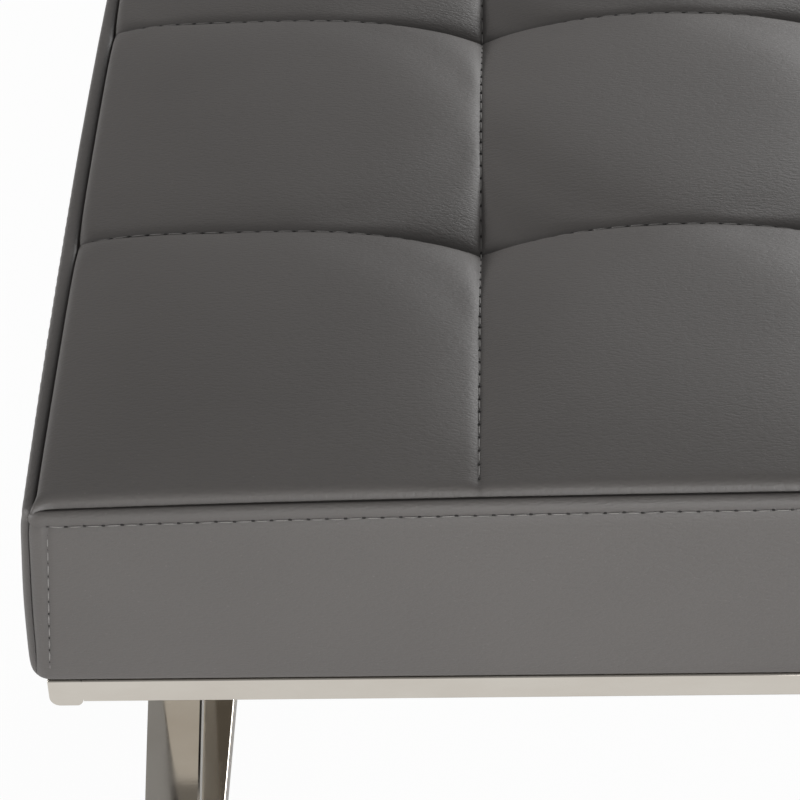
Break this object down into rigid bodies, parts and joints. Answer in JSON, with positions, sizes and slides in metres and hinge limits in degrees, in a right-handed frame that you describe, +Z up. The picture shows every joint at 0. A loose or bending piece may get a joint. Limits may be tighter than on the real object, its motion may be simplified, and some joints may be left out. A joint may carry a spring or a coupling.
{
  "type": "tufted bench",
  "caption": "Backless bench with a boxed seat cushion in grey leather, tufted in sewn square pillows, on a polished flat-bar frame with crossed legs and floor runners at its ends.",
  "frame": {"origin": "on the floor, at the middle of the bench's length and depth", "axes": "+X along the bench's length, to the right as seen from the front; -Y towards the front; +Z up"},
  "size_m": [1.0602, 0.5302, 0.4502],
  "materials": {
    "seat_leather": "satin",
    "polished_steel": "polished",
    "padding": "matte",
    "backing_cloth": "matte",
    "dust_cloth": "matte",
    "plywood": "matte",
    "zinc_steel": "satin",
    "nylon": "matte"
  },
  "bodies": {
    "root": {"top_cover": "seat_leather", "front_boxing": "seat_leather", "rear_boxing": "seat_leather", "left_boxing": "seat_leather", "right_boxing": "seat_leather", "front_rail": "polished_steel", "rear_rail": "polished_steel", "centre_rail": "polished_steel", "left_side_rail": "polished_steel", "left_top_bar": "polished_steel", "left_rising_bar": "polished_steel", "left_falling_bar": "polished_steel", "left_floor_runner": "polished_steel", "right_side_rail": "polished_steel", "right_top_bar": "polished_steel", "right_rising_bar": "polished_steel", "right_falling_bar": "polished_steel", "right_floor_runner": "polished_steel", "tufted_pad": "padding", "foam_core": "padding", "quilt_backing": "backing_cloth", "dust_cover": "dust_cloth", "seat_board": "plywood", "seat_bolts": "zinc_steel", "bolt_washers": "zinc_steel", "flange_nuts": "zinc_steel", "hem_staples": "zinc_steel", "glide_screws": "zinc_steel", "floor_glides": "nylon"}
  },
  "joints": []
}
